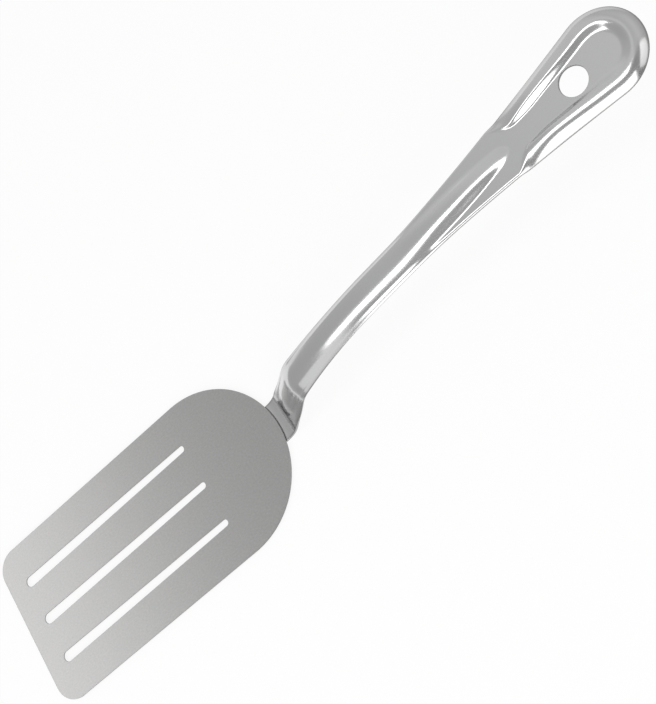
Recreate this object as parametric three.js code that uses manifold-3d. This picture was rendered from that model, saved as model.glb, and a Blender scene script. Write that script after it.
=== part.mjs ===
// Flexible turner: a thin slotted blade, spot-welded on top of the tang of a pressed sheet handle.
// Millimetres. +X runs from the blade to the handle's end, +Y across the blade and +Z up.
// The origin is the centre of the blade's round rear end, on the blade's flat top face.

import * as THREE from 'three';
import { mergeVertices } from 'three/addons/utils/BufferGeometryUtils.js';
import Module from 'manifold-3d';

const DEGREE = Math.PI / 180;

// Blade: a flat sheet with a straight front edge and a full round rear end.
const BLADE_WIDTH = 76.2;
const BLADE_LENGTH = 151.5;
const BLADE_THICKNESS = 0.6;
const FRONT_CORNER_RADIUS = 10.3;

// Draining slots: parallel, round-ended and a little narrower towards the handle.
const SLOT_COUNT = 3;
const SLOT_PITCH = 19.6;
const SLOT_LENGTH = 99.6;
const SLOT_FRONT_MARGIN = 9.9;
const SLOT_FRONT_WIDTH = 4.75;
const SLOT_REAR_WIDTH = 3.0;

// Tang: the flat front end of the handle, under the blade.
const TANG_WIDTH = 18.4;
const TANG_LENGTH = 31;

// Spot welds: the nuggets between the tang and the blade.
const WELD_DIAMETER = 5;
const WELD_GAP = 0.2;
const WELD_ROWS = 2;
const WELD_ROW_SPACING = 13;
const WELD_PAIR_SPACING = 9.2;

// Handle sheet, seen from the side: heel bend, ramp, shoulder bend, long sweep, straight grip.
const SHEET_THICKNESS = 1.2;
const HEEL_RADIUS = 9.7;
const RAMP_ANGLE = 49.3 * DEGREE;
const RAMP_LENGTH = 18.9;
const SHOULDER_RADIUS = 18.2;
const NECK_ANGLE = 24.5 * DEGREE;
const SWEEP_RADIUS = 195;
const GRIP_ANGLE = 9.5 * DEGREE;
const GRIP_LENGTH = 115.6;

// Handle sheet, laid flat and seen from above: slim neck, flared grip, round end.
const NECK_WIDTH = 15.3;
const NECK_TAPER_START = 9;
const NECK_TAPER_LENGTH = 59;
const NECK_TAPER_EASE_IN = 8.3;
const NECK_TAPER_EASE_OUT = 35.4;
const END_RADIUS = 17;
const FLARE_ANGLE = 8.1 * DEGREE;
const FLARE_EASE = 34;

// Edge of the sheet, rolled down for stiffness along the neck, and less along the flare.
const EDGE_DROP = 1.1;
const EDGE_ROLL = 2.6;
const EDGE_RUN_IN = 12;
const FLARE_DROP = 0.7;
const FLARE_ROLL = 1.4;

// Raised rim round the flared end, with its wall down to the flat floor inside. The start of its
// roll slants forward from the wall to the edge.
const RIM_HEIGHT = 2;
const RIM_DROP = 1.6;
const RIM_ROLL = 6;
const RIM_WALL = 3.2;
const RIM_LENGTH = 36;
const RIM_RUN_OUT = 5;
const RIM_SLANT = 6;
const RIM_RISE_START = 46;
const RIM_RISE_FULL = 26;

// Lower and gentler rim round the end itself.
const RIM_CAP_HEIGHT = 1.5;
const RIM_CAP_ROLL = 5.2;
const RIM_CAP_WALL = 4;
const RIM_CAP_START = 26;
const RIM_CAP_FULL = 6;

// Most of the half-width that the rim may take up, so that a floor is left inside it.
const RIM_SHARE = 0.85;

// Ridge along the neck and grip, with a blunt nose at the heel and a narrowing tail.
const RIDGE_WIDTH = 13.4;
const RIDGE_NECK_HEIGHT = 1.6;
const RIDGE_GRIP_HEIGHT = 2.15;
const RIDGE_SWELL_START = 60;
const RIDGE_SWELL_FULL = 33;
const RIDGE_NOSE_OFFSET = 0.5;
const RIDGE_NOSE_LENGTH = 11;
const RIDGE_TAIL_OFFSET = 43.8;
const RIDGE_TAIL_LENGTH = 25;
const RIDGE_TAIL_WIDTH = 6.6;
const RIDGE_TAIL_SPREAD = 45;
const RIDGE_TIP_LENGTH = 5;

// How sharply the ridge's broad crown turns down to its foot: higher is sharper.
const RIDGE_NECK_CROWN = 10;
const RIDGE_GRIP_CROWN = 4;

// Hanging hole in the floor of the flared end.
const HOLE_DIAMETER = 11;
const HOLE_OFFSET = 12;

// Fineness of the surfaces: rows across the handle's section, steps along its outline, round cuts.
const ROLL_ROWS = 4;
const WALL_ROWS = 4;
const FLOOR_ROWS = 4;
const TANG_END_STEPS = 6;
const TANG_SIDE_STEPS = 2;
const HEEL_STEPS = 8;
const RAMP_STEPS = 5;
const NECK_STEPS = 22;
const GRIP_STEPS = 5;
const FLARE_STEPS = 24;
const END_STEPS = 14;
const HOLE_SEGMENTS = 48;
const CURVE_SEGMENTS = 24;

const bladeRear = BLADE_WIDTH / 2;
const bladeFront = bladeRear - BLADE_LENGTH;

// The heel starts to rise just inside the blade's rear edge, and has risen half the weld gap there.
const heelX = bladeRear - Math.sqrt(HEEL_RADIUS * WELD_GAP);
const tangFront = heelX - TANG_LENGTH;
const tangTop = -BLADE_THICKNESS - WELD_GAP;

// Each stretch of the side profile has a length along the sheet and the angle that it turns by.
const heelBend = { length: HEEL_RADIUS * RAMP_ANGLE, turn: RAMP_ANGLE };
const ramp = { length: RAMP_LENGTH, turn: 0 };
const shoulderBend = {
  length: SHOULDER_RADIUS * (RAMP_ANGLE - NECK_ANGLE),
  turn: NECK_ANGLE - RAMP_ANGLE,
};
const sweep = {
  length: SWEEP_RADIUS * (NECK_ANGLE - GRIP_ANGLE),
  turn: GRIP_ANGLE - NECK_ANGLE,
};
const grip = { length: GRIP_LENGTH + END_RADIUS, turn: 0 };
const sideProfile = [{ length: TANG_LENGTH, turn: 0 }, heelBend, ramp, shoulderBend, sweep, grip];

// Places along the laid-out sheet, measured from the tang's front end.
const heelStart = TANG_LENGTH;
const rampStart = heelStart + heelBend.length;
const gripStart = rampStart + ramp.length + shoulderBend.length + sweep.length;
const endCentre = gripStart + GRIP_LENGTH;
const taperStart = rampStart + NECK_TAPER_START;
const taperEnd = taperStart + NECK_TAPER_LENGTH;
const noseStart = rampStart + RIDGE_NOSE_OFFSET;
const tailEnd = endCentre - RIDGE_TAIL_OFFSET;
const rimFull = endCentre - RIM_LENGTH;
const holeCentre = endCentre - HOLE_OFFSET;

/** Eases from 0 to 1 as value goes from start to end. */
function ease(value, start, end) {
  return THREE.MathUtils.smoothstep(value, start, end);
}

/** Half-width of an elliptical end, from 0 at its tip to 1 where it is full. */
function roundedEnd(distance, length) {
  const inside = THREE.MathUtils.clamp(1 - distance / length, 0, 1);
  return distance > 0 ? Math.sqrt(1 - inside * inside) : 0;
}

/** Point and slope of the sheet's middle line at a length u along it. */
function profileAt(u) {
  const point = { x: 0, z: 0, angle: 0 };
  let remaining = u;
  for (const { length, turn } of sideProfile) {
    const run = Math.min(remaining, length);
    const angle = point.angle + (turn * run) / length;
    if (turn === 0) {
      point.x += run * Math.cos(angle);
      point.z += run * Math.sin(angle);
    } else {
      const radius = length / turn;
      point.x += radius * (Math.sin(angle) - Math.sin(point.angle));
      point.z += radius * (Math.cos(point.angle) - Math.cos(angle));
    }
    point.angle = angle;
    remaining -= run;
  }
  return point;
}

/** How far the neck's section has turned into the grip's at a length u, from 0 to 1. */
function swellAt(u) {
  return ease(u, tailEnd - RIDGE_SWELL_START, tailEnd - RIDGE_SWELL_FULL);
}

/** Sizes of the rolled edge and rim at a place: how far it drops, rises and reaches in. */
function edgeAt(u, inside, width) {
  const { clamp, lerp } = THREE.MathUtils;
  const swell = swellAt(u);
  const edgeDrop = lerp(EDGE_DROP, FLARE_DROP, swell);
  const edgeRoll = lerp(EDGE_ROLL, FLARE_ROLL, swell);
  const outward = clamp(1 - inside / (RIM_ROLL + RIM_WALL), 0, 1);
  const full = rimFull - RIM_SLANT * outward;
  const rim = ease(u, full - RIM_RUN_OUT, full);
  const cap = ease(u, endCentre - RIM_CAP_START, endCentre - RIM_CAP_FULL);
  const tip = ease(u, endCentre, endCentre + END_RADIUS / 2);
  const rise = ease(u, endCentre - RIM_RISE_START, endCentre - RIM_RISE_FULL);
  const roll = lerp(edgeRoll, lerp(RIM_ROLL, RIM_CAP_ROLL, tip), rim);
  const wall = lerp(edgeRoll, lerp(RIM_WALL, RIM_CAP_WALL, cap), rise);
  const fit = Math.min(1, (RIM_SHARE * width) / (roll + wall));
  return {
    drop: lerp(edgeDrop, RIM_DROP, rim) * ease(u, rampStart, rampStart + EDGE_RUN_IN),
    rise: lerp(RIM_HEIGHT, RIM_CAP_HEIGHT, cap) * rise,
    roll: roll * fit,
    wall: wall * fit,
  };
}

/** Height of the ridge at a length u along the sheet and a distance v from its middle line. */
function ridgeHeight(u, v) {
  const { lerp } = THREE.MathUtils;
  const fromTail = tailEnd - u;
  const nose = roundedEnd(u - noseStart, RIDGE_NOSE_LENGTH);
  const tail = roundedEnd(fromTail, RIDGE_TAIL_LENGTH);
  const spread = roundedEnd(fromTail, RIDGE_TAIL_SPREAD) ** 2;
  const width = lerp(RIDGE_TAIL_WIDTH, RIDGE_WIDTH, spread);
  const halfWidth = (width / 2) * nose * roundedEnd(fromTail, RIDGE_TIP_LENGTH);
  if (Math.abs(v) >= halfWidth) return 0;
  const swell = swellAt(u);
  const full = lerp(RIDGE_NECK_HEIGHT, RIDGE_GRIP_HEIGHT, swell);
  const power = lerp(RIDGE_NECK_CROWN, RIDGE_GRIP_CROWN, swell);
  const across = Math.abs(v) / halfWidth;
  const crown = 1 - ((power + 2) * across ** 2 - 2 * across ** (power + 2)) / power;
  return full * (nose * tail) ** 2 * crown;
}

/** Height of the sheet's top over its middle line, at a distance inside its edge. */
function sheetHeight(u, v, inside, width) {
  const { drop, rise, roll, wall } = edgeAt(u, inside, width);
  const rolled = rise - (rise + drop) * Math.max(0, 1 - inside / roll) ** 2;
  const lowered = rise * ease(inside, roll, roll + wall);
  return rolled - lowered + ridgeHeight(u, v);
}

/** Point on the sheet's top surface, in the handle's own frame. */
function sheetPoint(u, v, inside, width) {
  const { x, z, angle } = profileAt(u);
  const height = sheetHeight(u, v, inside, width);
  return new THREE.Vector3(x - height * Math.sin(angle), v, z + height * Math.cos(angle));
}

/** Left half of the laid-out handle, as curves with the number of steps along each. */
function handleOutline() {
  const tangHalf = TANG_WIDTH / 2;
  const neckHalf = NECK_WIDTH / 2;
  const flareEnd = new THREE.Vector2(
    endCentre - END_RADIUS * Math.sin(FLARE_ANGLE),
    END_RADIUS * Math.cos(FLARE_ANGLE),
  );
  const flareKnee = flareEnd.x - (flareEnd.y - neckHalf) / Math.tan(FLARE_ANGLE);
  const flareStart = flareKnee - FLARE_EASE;
  const at = (u, v) => new THREE.Vector2(u, v);
  const tangCorner = at(tangHalf, tangHalf);
  const heelCorner = at(heelStart, tangHalf);
  const rampCorner = at(rampStart, tangHalf);
  const taperCorner = at(taperStart, tangHalf);
  const neckCorner = at(taperEnd, neckHalf);
  const flareCorner = at(flareStart, neckHalf);
  const taperPull = at(taperStart + NECK_TAPER_EASE_IN, tangHalf);
  const neckPull = at(taperEnd - NECK_TAPER_EASE_OUT, neckHalf);
  const quarter = Math.PI / 2;
  const endAngle = quarter + FLARE_ANGLE;
  return [
    [new THREE.EllipseCurve(tangHalf, 0, tangHalf, tangHalf, Math.PI, quarter, true), TANG_END_STEPS],
    [new THREE.LineCurve(tangCorner, heelCorner), TANG_SIDE_STEPS],
    [new THREE.LineCurve(heelCorner, rampCorner), HEEL_STEPS],
    [new THREE.LineCurve(rampCorner, taperCorner), RAMP_STEPS],
    [new THREE.CubicBezierCurve(taperCorner, taperPull, neckPull, neckCorner), NECK_STEPS],
    [new THREE.LineCurve(neckCorner, flareCorner), GRIP_STEPS],
    [new THREE.QuadraticBezierCurve(flareCorner, at(flareKnee, neckHalf), flareEnd), FLARE_STEPS],
    [new THREE.EllipseCurve(endCentre, 0, END_RADIUS, END_RADIUS, endAngle, 0, true), END_STEPS],
  ];
}

/** Points of the left half of the outline, each with the spine point that its row runs in to. */
function outlineStations() {
  const tangCentre = TANG_WIDTH / 2;
  const stations = [];
  for (const [curve, steps] of handleOutline()) {
    const points = curve.getPoints(steps);
    const fresh = stations.length > 0 ? points.slice(1) : points;
    for (const { x, y } of fresh) {
      const edge = new THREE.Vector2(x, Math.max(y, 0));
      const spine = THREE.MathUtils.clamp(x, tangCentre, endCentre);
      stations.push({ edge, spine: new THREE.Vector2(spine, 0) });
    }
  }
  return stations;
}

/** Distances inside the edge of the rows across one station, from the edge to the spine. */
function rowDistances(u, width) {
  const { roll, wall } = edgeAt(u, 0, width);
  const floor = width - roll - wall;
  const rows = [];
  for (let i = 0; i < ROLL_ROWS; i += 1) rows.push((roll * i) / ROLL_ROWS);
  for (let i = 0; i < WALL_ROWS; i += 1) rows.push(roll + (wall * i) / WALL_ROWS);
  for (let i = 0; i <= FLOOR_ROWS; i += 1) rows.push(roll + wall + (floor * i) / FLOOR_ROWS);
  return rows;
}

/** Top surface points of one station, from the edge to the spine, on the side given by sign. */
function stationPoints({ edge, spine }, sign) {
  const width = edge.distanceTo(spine);
  return rowDistances(spine.x, width).map((inside) => {
    const flat = edge.clone().lerp(spine, inside / width);
    return sheetPoint(flat.x, sign * flat.y, inside, width);
  });
}

/** Closed geometry from points and triangles. */
function geometryFrom(points, triangles) {
  const geometry = new THREE.BufferGeometry();
  geometry.setFromPoints(points);
  geometry.setIndex(triangles);
  return geometry;
}

/** Handle sheet before its hole is cut: the top surface, the underside and the edge between. */
function handleSheet() {
  const left = outlineStations();
  const right = left.slice(1, -1).reverse();
  const loop = [...left.map((s) => stationPoints(s, 1)), ...right.map((s) => stationPoints(s, -1))];
  const rows = loop[0].length;
  const triangles = [];
  for (let station = 0; station < loop.length; station += 1) {
    const next = (station + 1) % loop.length;
    for (let row = 0; row + 1 < rows; row += 1) {
      const a = station * rows + row;
      const b = next * rows + row;
      triangles.push(a, a + 1, b, b, a + 1, b + 1);
    }
  }
  const top = mergeVertices(geometryFrom(loop.flat(), triangles));
  top.computeVertexNormals();
  return thicken(top);
}

/** Closes an open surface into a sheet, adding its thickness on the side away from its normals. */
function thicken(surface) {
  const { position, normal } = surface.attributes;
  const topPoints = [];
  const lowPoints = [];
  for (let i = 0; i < position.count; i += 1) {
    const point = new THREE.Vector3().fromBufferAttribute(position, i);
    const out = new THREE.Vector3().fromBufferAttribute(normal, i);
    topPoints.push(point);
    lowPoints.push(point.clone().addScaledVector(out, -SHEET_THICKNESS));
  }
  const count = position.count;
  const triangles = [];
  const openEdges = new Map();
  const corners = surface.index.array;
  for (let i = 0; i < corners.length; i += 3) {
    const [a, b, c] = corners.slice(i, i + 3);
    if (a === b || b === c || c === a) continue;
    triangles.push(a, b, c, count + a, count + c, count + b);
    for (const [from, to] of [[a, b], [b, c], [c, a]]) {
      if (!openEdges.delete(`${to},${from}`)) openEdges.set(`${from},${to}`, [from, to]);
    }
  }
  for (const [from, to] of openEdges.values()) {
    triangles.push(from, count + from, to, to, count + from, count + to);
  }
  return geometryFrom([...topPoints, ...lowPoints], triangles);
}

const wasm = await Module();
wasm.setup();

/** Solid for cutting, from a closed geometry. */
function solidFrom(geometry) {
  const bare = geometry.clone();
  bare.deleteAttribute('normal');
  bare.deleteAttribute('uv');
  const merged = mergeVertices(bare);
  return new wasm.Manifold(new wasm.Mesh({
    numProp: 3,
    vertProperties: new Float32Array(merged.attributes.position.array),
    triVerts: new Uint32Array(merged.index.array),
  }));
}

/** Geometry of a solid that has been cut. */
function geometryOf(solid) {
  const { vertProperties, triVerts } = solid.getMesh();
  const geometry = new THREE.BufferGeometry();
  geometry.setAttribute('position', new THREE.BufferAttribute(vertProperties, 3));
  geometry.setIndex(new THREE.BufferAttribute(triVerts, 1));
  geometry.computeVertexNormals();
  return geometry;
}

/** Handle, with the hanging hole cut square through the floor of its flared end. */
function makeHandle() {
  const { x, z, angle } = profileAt(holeCentre);
  const radius = HOLE_DIAMETER / 2;
  const cutter = new THREE.CylinderGeometry(radius, radius, SHEET_THICKNESS * 4, HOLE_SEGMENTS);
  cutter.rotateX(Math.PI / 2);
  cutter.rotateY(-angle);
  cutter.translate(x, 0, z);
  const geometry = geometryOf(solidFrom(handleSheet()).subtract(solidFrom(cutter)));
  const material = new THREE.MeshStandardMaterial({ color: 0xd2d3d4, roughness: 0.14, metalness: 1 });
  const handle = new THREE.Mesh(geometry, material);
  handle.name = 'handle';
  handle.position.set(tangFront, 0, tangTop);
  return handle;
}

/** Outline of one draining slot: two round ends joined by their common tangents. */
function slotPath(y) {
  const frontRadius = SLOT_FRONT_WIDTH / 2;
  const rearRadius = SLOT_REAR_WIDTH / 2;
  const front = bladeFront + SLOT_FRONT_MARGIN + frontRadius;
  const rear = bladeFront + SLOT_FRONT_MARGIN + SLOT_LENGTH - rearRadius;
  const lean = Math.asin((frontRadius - rearRadius) / (rear - front));
  const side = Math.PI / 2 - lean;
  const path = new THREE.Path();
  path.absarc(rear, y, rearRadius, -side, side, false);
  path.absarc(front, y, frontRadius, side, 2 * Math.PI - side, false);
  path.closePath();
  return path;
}

/** Blade: straight front edge with rounded corners, parallel sides and a full round rear end. */
function makeBlade() {
  const half = BLADE_WIDTH / 2;
  const corner = FRONT_CORNER_RADIUS;
  const cornerX = bladeFront + corner;
  const cornerY = half - corner;
  const quarter = Math.PI / 2;
  const outline = new THREE.Shape();
  outline.absarc(0, 0, half, -quarter, quarter, false);
  outline.absarc(cornerX, cornerY, corner, quarter, Math.PI, false);
  outline.absarc(cornerX, -cornerY, corner, Math.PI, 3 * quarter, false);
  outline.closePath();
  for (let i = 0; i < SLOT_COUNT; i += 1) {
    outline.holes.push(slotPath((i - (SLOT_COUNT - 1) / 2) * SLOT_PITCH));
  }
  const geometry = new THREE.ExtrudeGeometry(outline, {
    depth: BLADE_THICKNESS,
    bevelEnabled: false,
    curveSegments: CURVE_SEGMENTS,
  });
  const material = new THREE.MeshStandardMaterial({ color: 0xb4b3b1, roughness: 0.45, metalness: 1 });
  const blade = new THREE.Mesh(geometry, material);
  blade.name = 'blade';
  blade.position.z = -BLADE_THICKNESS;
  return blade;
}

/** Spot weld nugget, filling the gap between the tang and the blade. */
function makeWeld(name, x, y) {
  const radius = WELD_DIAMETER / 2;
  const geometry = new THREE.CylinderGeometry(radius, radius, WELD_GAP, CURVE_SEGMENTS);
  const material = new THREE.MeshStandardMaterial({ color: 0x8f8d8a, roughness: 0.6, metalness: 1 });
  const weld = new THREE.Mesh(geometry, material);
  weld.name = name;
  weld.rotation.x = Math.PI / 2;
  weld.position.set(x, y, tangTop + WELD_GAP / 2);
  return weld;
}

const turner = new THREE.Group();
turner.add(makeBlade(), makeHandle());
const firstWeldX = tangFront + TANG_WIDTH / 2;
for (let row = 0; row < WELD_ROWS; row += 1) {
  const x = firstWeldX + row * WELD_ROW_SPACING;
  turner.add(makeWeld(`spot_weld_left_${row + 1}`, x, WELD_PAIR_SPACING / 2));
  turner.add(makeWeld(`spot_weld_right_${row + 1}`, x, -WELD_PAIR_SPACING / 2));
}

export default turner;
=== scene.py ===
"""Looks of a flexible turner: a satin slotted blade, spot-welded to a polished pressed handle.

Metres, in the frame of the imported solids: +X runs from the blade to the handle's end, +Y across
the blade and +Z up. The origin is on the blade's top face, at the centre of its round rear end.
"""

import logging
import math
from dataclasses import dataclass, field
from enum import Enum
from typing import Any

import bmesh
import bpy
import numpy as np
from mathutils import Matrix, Vector


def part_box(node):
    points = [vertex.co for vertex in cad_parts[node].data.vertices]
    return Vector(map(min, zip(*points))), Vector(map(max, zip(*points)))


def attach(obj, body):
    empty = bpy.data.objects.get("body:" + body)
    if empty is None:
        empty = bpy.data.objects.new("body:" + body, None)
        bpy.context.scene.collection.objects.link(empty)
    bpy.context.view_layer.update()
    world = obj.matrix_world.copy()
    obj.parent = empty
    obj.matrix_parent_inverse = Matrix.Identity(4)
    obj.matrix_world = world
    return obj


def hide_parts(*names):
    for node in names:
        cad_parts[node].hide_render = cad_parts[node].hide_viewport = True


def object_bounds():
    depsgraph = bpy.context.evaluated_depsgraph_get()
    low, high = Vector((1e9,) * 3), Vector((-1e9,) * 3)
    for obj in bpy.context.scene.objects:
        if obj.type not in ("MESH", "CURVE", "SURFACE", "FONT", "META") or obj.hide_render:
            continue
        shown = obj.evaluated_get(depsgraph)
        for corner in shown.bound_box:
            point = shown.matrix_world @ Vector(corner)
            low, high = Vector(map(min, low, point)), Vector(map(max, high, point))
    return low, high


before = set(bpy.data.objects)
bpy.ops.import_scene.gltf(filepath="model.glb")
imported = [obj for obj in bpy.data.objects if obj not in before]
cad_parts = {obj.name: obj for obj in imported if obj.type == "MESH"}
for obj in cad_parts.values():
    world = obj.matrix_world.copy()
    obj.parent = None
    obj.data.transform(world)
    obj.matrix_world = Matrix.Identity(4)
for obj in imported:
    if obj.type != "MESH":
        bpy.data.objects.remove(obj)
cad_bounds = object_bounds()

LOG = logging.getLogger("turner")
MM = 0.001
BODY = "root"
MERGE_DISTANCE = 0.0005 * MM
FLAT_DISTANCE = 0.0002 * MM
JOIN_DISTANCE = 0.001 * MM
TINY = 1e-9

Socket = bpy.types.NodeSocket
Inputs = dict[str | int, Any]
Array = np.ndarray
Color = tuple[float, float, float]
Point = tuple[float, float, float]
Pair = tuple[float, float]
Object = bpy.types.Object


class Side(Enum):
    """Half of the handle, by the sign of its Y."""

    LEFT = 1
    RIGHT = -1


class SeenBy(Enum):
    """Kinds of ray that show the floor as a white background."""

    CAMERA = "Is Camera Ray"
    GLOSS = "Is Glossy Ray"
    GLASS = "Is Transmission Ray"


class Lights(Enum):
    """Pieces that a lamp lights."""

    ALL = None
    BLADE = "INCLUDE"
    ALL_BUT_BLADE = "EXCLUDE"


class Mix(Enum):
    """Socket numbers of a Mix node, by its kind of value: its two inputs and its output."""

    FLOAT = (2, 3, 0)
    RGBA = (6, 7, 2)


@dataclass
class NodeTreeBuilder:
    """Adds nodes to one shader or geometry tree, and sets or links their inputs."""

    tree: bpy.types.NodeTree

    def add(self, kind: str, inputs: Inputs | None = None, **settings: Any) -> bpy.types.Node:
        """Adds one node.

        Args:
            kind: The node's type name.
            inputs: Values or output sockets for the node's inputs, by name or number.
            settings: The node's own properties.

        Returns:
            The new node.
        """
        node = self.tree.nodes.new(kind)
        for name, value in settings.items():
            setattr(node, name, value)
        for key, value in (inputs or {}).items():
            if isinstance(value, Socket):
                self.tree.links.new(value, node.inputs[key])
            else:
                node.inputs[key].default_value = value
        return node

    def out(self, kind: str, inputs: Inputs | None = None, **settings: Any) -> Socket:
        """Adds one node, as add does, and gives its first output."""
        return self.add(kind, inputs, **settings).outputs[0]

    def math(self, operation: str, first: Any, second: Any = 0.0, third: Any = 0.0) -> Socket:
        """Adds a Math node for up to three values or sockets, and gives its output."""
        inputs = {0: first, 1: second, 2: third}
        return self.out("ShaderNodeMath", inputs, operation=operation)

    def vector(self, **axes: Socket) -> Socket:
        """Adds a Combine XYZ node for the named axes, and leaves the others at 0."""
        return self.out("ShaderNodeCombineXYZ", axes)

    def mix(self, kind: Mix, share: Socket, first: Any, second: Any) -> Socket:
        """Adds a Mix node.

        Args:
            kind: Kind of value that it mixes.
            share: Share of the second value.
            first: Value or socket that it gives at 0.
            second: Value or socket that it gives at 1.

        Returns:
            The node's output.
        """
        low, high, result = kind.value
        inputs = {0: share, low: first, high: second}
        return self.add("ShaderNodeMix", inputs, data_type=kind.name).outputs[result]

    def socket(self, name: str, kind: str, in_out: str = "INPUT") -> Any:
        """Adds a named input or output socket to the tree's interface, and gives it."""
        return self.tree.interface.new_socket(name=name, in_out=in_out, socket_type=kind)


def link_to_scene(name: str, data: bpy.types.ID) -> Object:
    """Makes an object of some data and puts it in the scene.

    Args:
        name: The object's name.
        data: Its mesh, lamp or camera.

    Returns:
        The new object.
    """
    made = bpy.data.objects.new(name, data)
    bpy.context.scene.collection.objects.link(made)
    return made


def apply_modifiers(piece: Object) -> None:
    """Turns a piece with modifiers into a plain mesh.

    Args:
        piece: The mesh object. Its modifiers are removed.
    """
    evaluated = piece.evaluated_get(bpy.context.evaluated_depsgraph_get())
    plain = bpy.data.meshes.new_from_object(evaluated)
    plain.name = piece.name
    piece.modifiers.clear()
    piece.data = plain


def aim(made: Object, place: Point, back: Vector, up: Vector) -> None:
    """Puts a lamp or the camera in its place and turns it.

    Args:
        made: The lamp or camera.
        place: Where it stands.
        back: The way that its back faces.
        up: The way that its upper side faces, as near as its back allows.
    """
    back = back.normalized()
    right = up.cross(back).normalized()
    axes = Matrix([right, back.cross(right), back]).transposed()
    made.matrix_world = Matrix.Translation(place) @ axes.to_4x4()


def merge_close(mesh: bpy.types.Mesh) -> None:
    """Merges a mesh's coinciding points, and removes its faces that have no area.

    Args:
        mesh: The mesh to clean.
    """
    shell = bmesh.new()
    shell.from_mesh(mesh)
    bmesh.ops.remove_doubles(shell, verts=shell.verts, dist=MERGE_DISTANCE)
    bmesh.ops.dissolve_degenerate(shell, edges=shell.edges, dist=FLAT_DISTANCE)
    shell.to_mesh(mesh)
    shell.free()


def ease(value: Array, start: Any, end: Any) -> Array:
    """Eases from 0 to 1 as the value goes from start to end."""
    share = np.clip((value - start) / (end - start), 0.0, 1.0)
    return share * share * (3.0 - 2.0 * share)


def lerp(start: Any, end: Any, share: Any) -> Any:
    """Goes from start to end as the share goes from 0 to 1."""
    return start + (end - start) * share


def rounded_end(distance: Array, length: float) -> Array:
    """Half-width of an elliptical end, from 0 at its tip to 1 where it is full."""
    inside = np.clip(1.0 - distance / length, 0.0, 1.0)
    return np.where(distance > 0.0, np.sqrt(1.0 - inside * inside), 0.0)


def bezier(controls: list[Pair], count: int) -> Array:
    """Points along a Bezier curve of any degree.

    Args:
        controls: The curve's control points. Two of them make a straight line.
        count: How many steps to take.

    Returns:
        An array of count + 1 points.
    """
    share = np.linspace(0.0, 1.0, count + 1)[:, None]
    layer = [np.asarray(point)[None, :] for point in controls]
    while len(layer) > 1:
        layer = [(1.0 - share) * a + share * b for a, b in zip(layer, layer[1:])]
    return layer[0]


def arc(centre: Pair, radius: float, start: float, end: float, count: int) -> Array:
    """Points along an arc from one angle to another, in a count of equal steps."""
    angle = np.linspace(start, end, count + 1)
    return np.asarray(centre) + radius * np.stack([np.cos(angle), np.sin(angle)], axis=1)


@dataclass(frozen=True)
class SideProfile:
    """Middle line of the handle's sheet, seen from the side and measured along the sheet."""

    tang_length: float = 31.0 * MM
    heel_radius: float = 9.7 * MM
    ramp_angle: float = math.radians(49.3)
    ramp_length: float = 18.9 * MM
    shoulder_radius: float = 18.2 * MM
    neck_angle: float = math.radians(24.5)
    sweep_radius: float = 195.0 * MM
    grip_angle: float = math.radians(9.5)
    grip_length: float = 115.6 * MM
    end_radius: float = 17.0 * MM

    @property
    def stretches(self) -> list[Pair]:
        """Straight and round stretches of the sheet, in order from the tang's tip.

        Returns:
            The length of each and the angle that it turns by.
        """
        shoulder_turn = self.neck_angle - self.ramp_angle
        sweep_turn = self.grip_angle - self.neck_angle
        return [
            (self.tang_length, 0.0),
            (self.heel_radius * self.ramp_angle, self.ramp_angle),
            (self.ramp_length, 0.0),
            (-self.shoulder_radius * shoulder_turn, shoulder_turn),
            (-self.sweep_radius * sweep_turn, sweep_turn),
            (self.grip_length + self.end_radius, 0.0),
        ]

    @property
    def ramp_start(self) -> float:
        """Length along the sheet where the ramp starts."""
        return self.tang_length + self.heel_radius * self.ramp_angle

    @property
    def end_centre(self) -> float:
        """Length along the sheet of the centre of its round end."""
        return sum(length for length, _ in self.stretches) - self.end_radius

    def at(self, u: Array) -> tuple[Array, Array, Array]:
        """Place and slope of the middle line.

        Args:
            u: Lengths along the sheet from the tang's tip.

        Returns:
            The X, the Z and the angle at each length.
        """
        x, z, angle = np.zeros_like(u), np.zeros_like(u), np.zeros_like(u)
        left = u
        for length, turn in self.stretches:
            run = np.clip(left, 0.0, length)
            turned = angle + turn * run / length
            if turn == 0.0:
                x = x + run * np.cos(angle)
                z = z + run * np.sin(angle)
            else:
                radius = length / turn
                x = x + radius * (np.sin(turned) - np.sin(angle))
                z = z + radius * (np.cos(angle) - np.cos(turned))
            angle = turned
            left = left - length
        return x, z, angle


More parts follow.
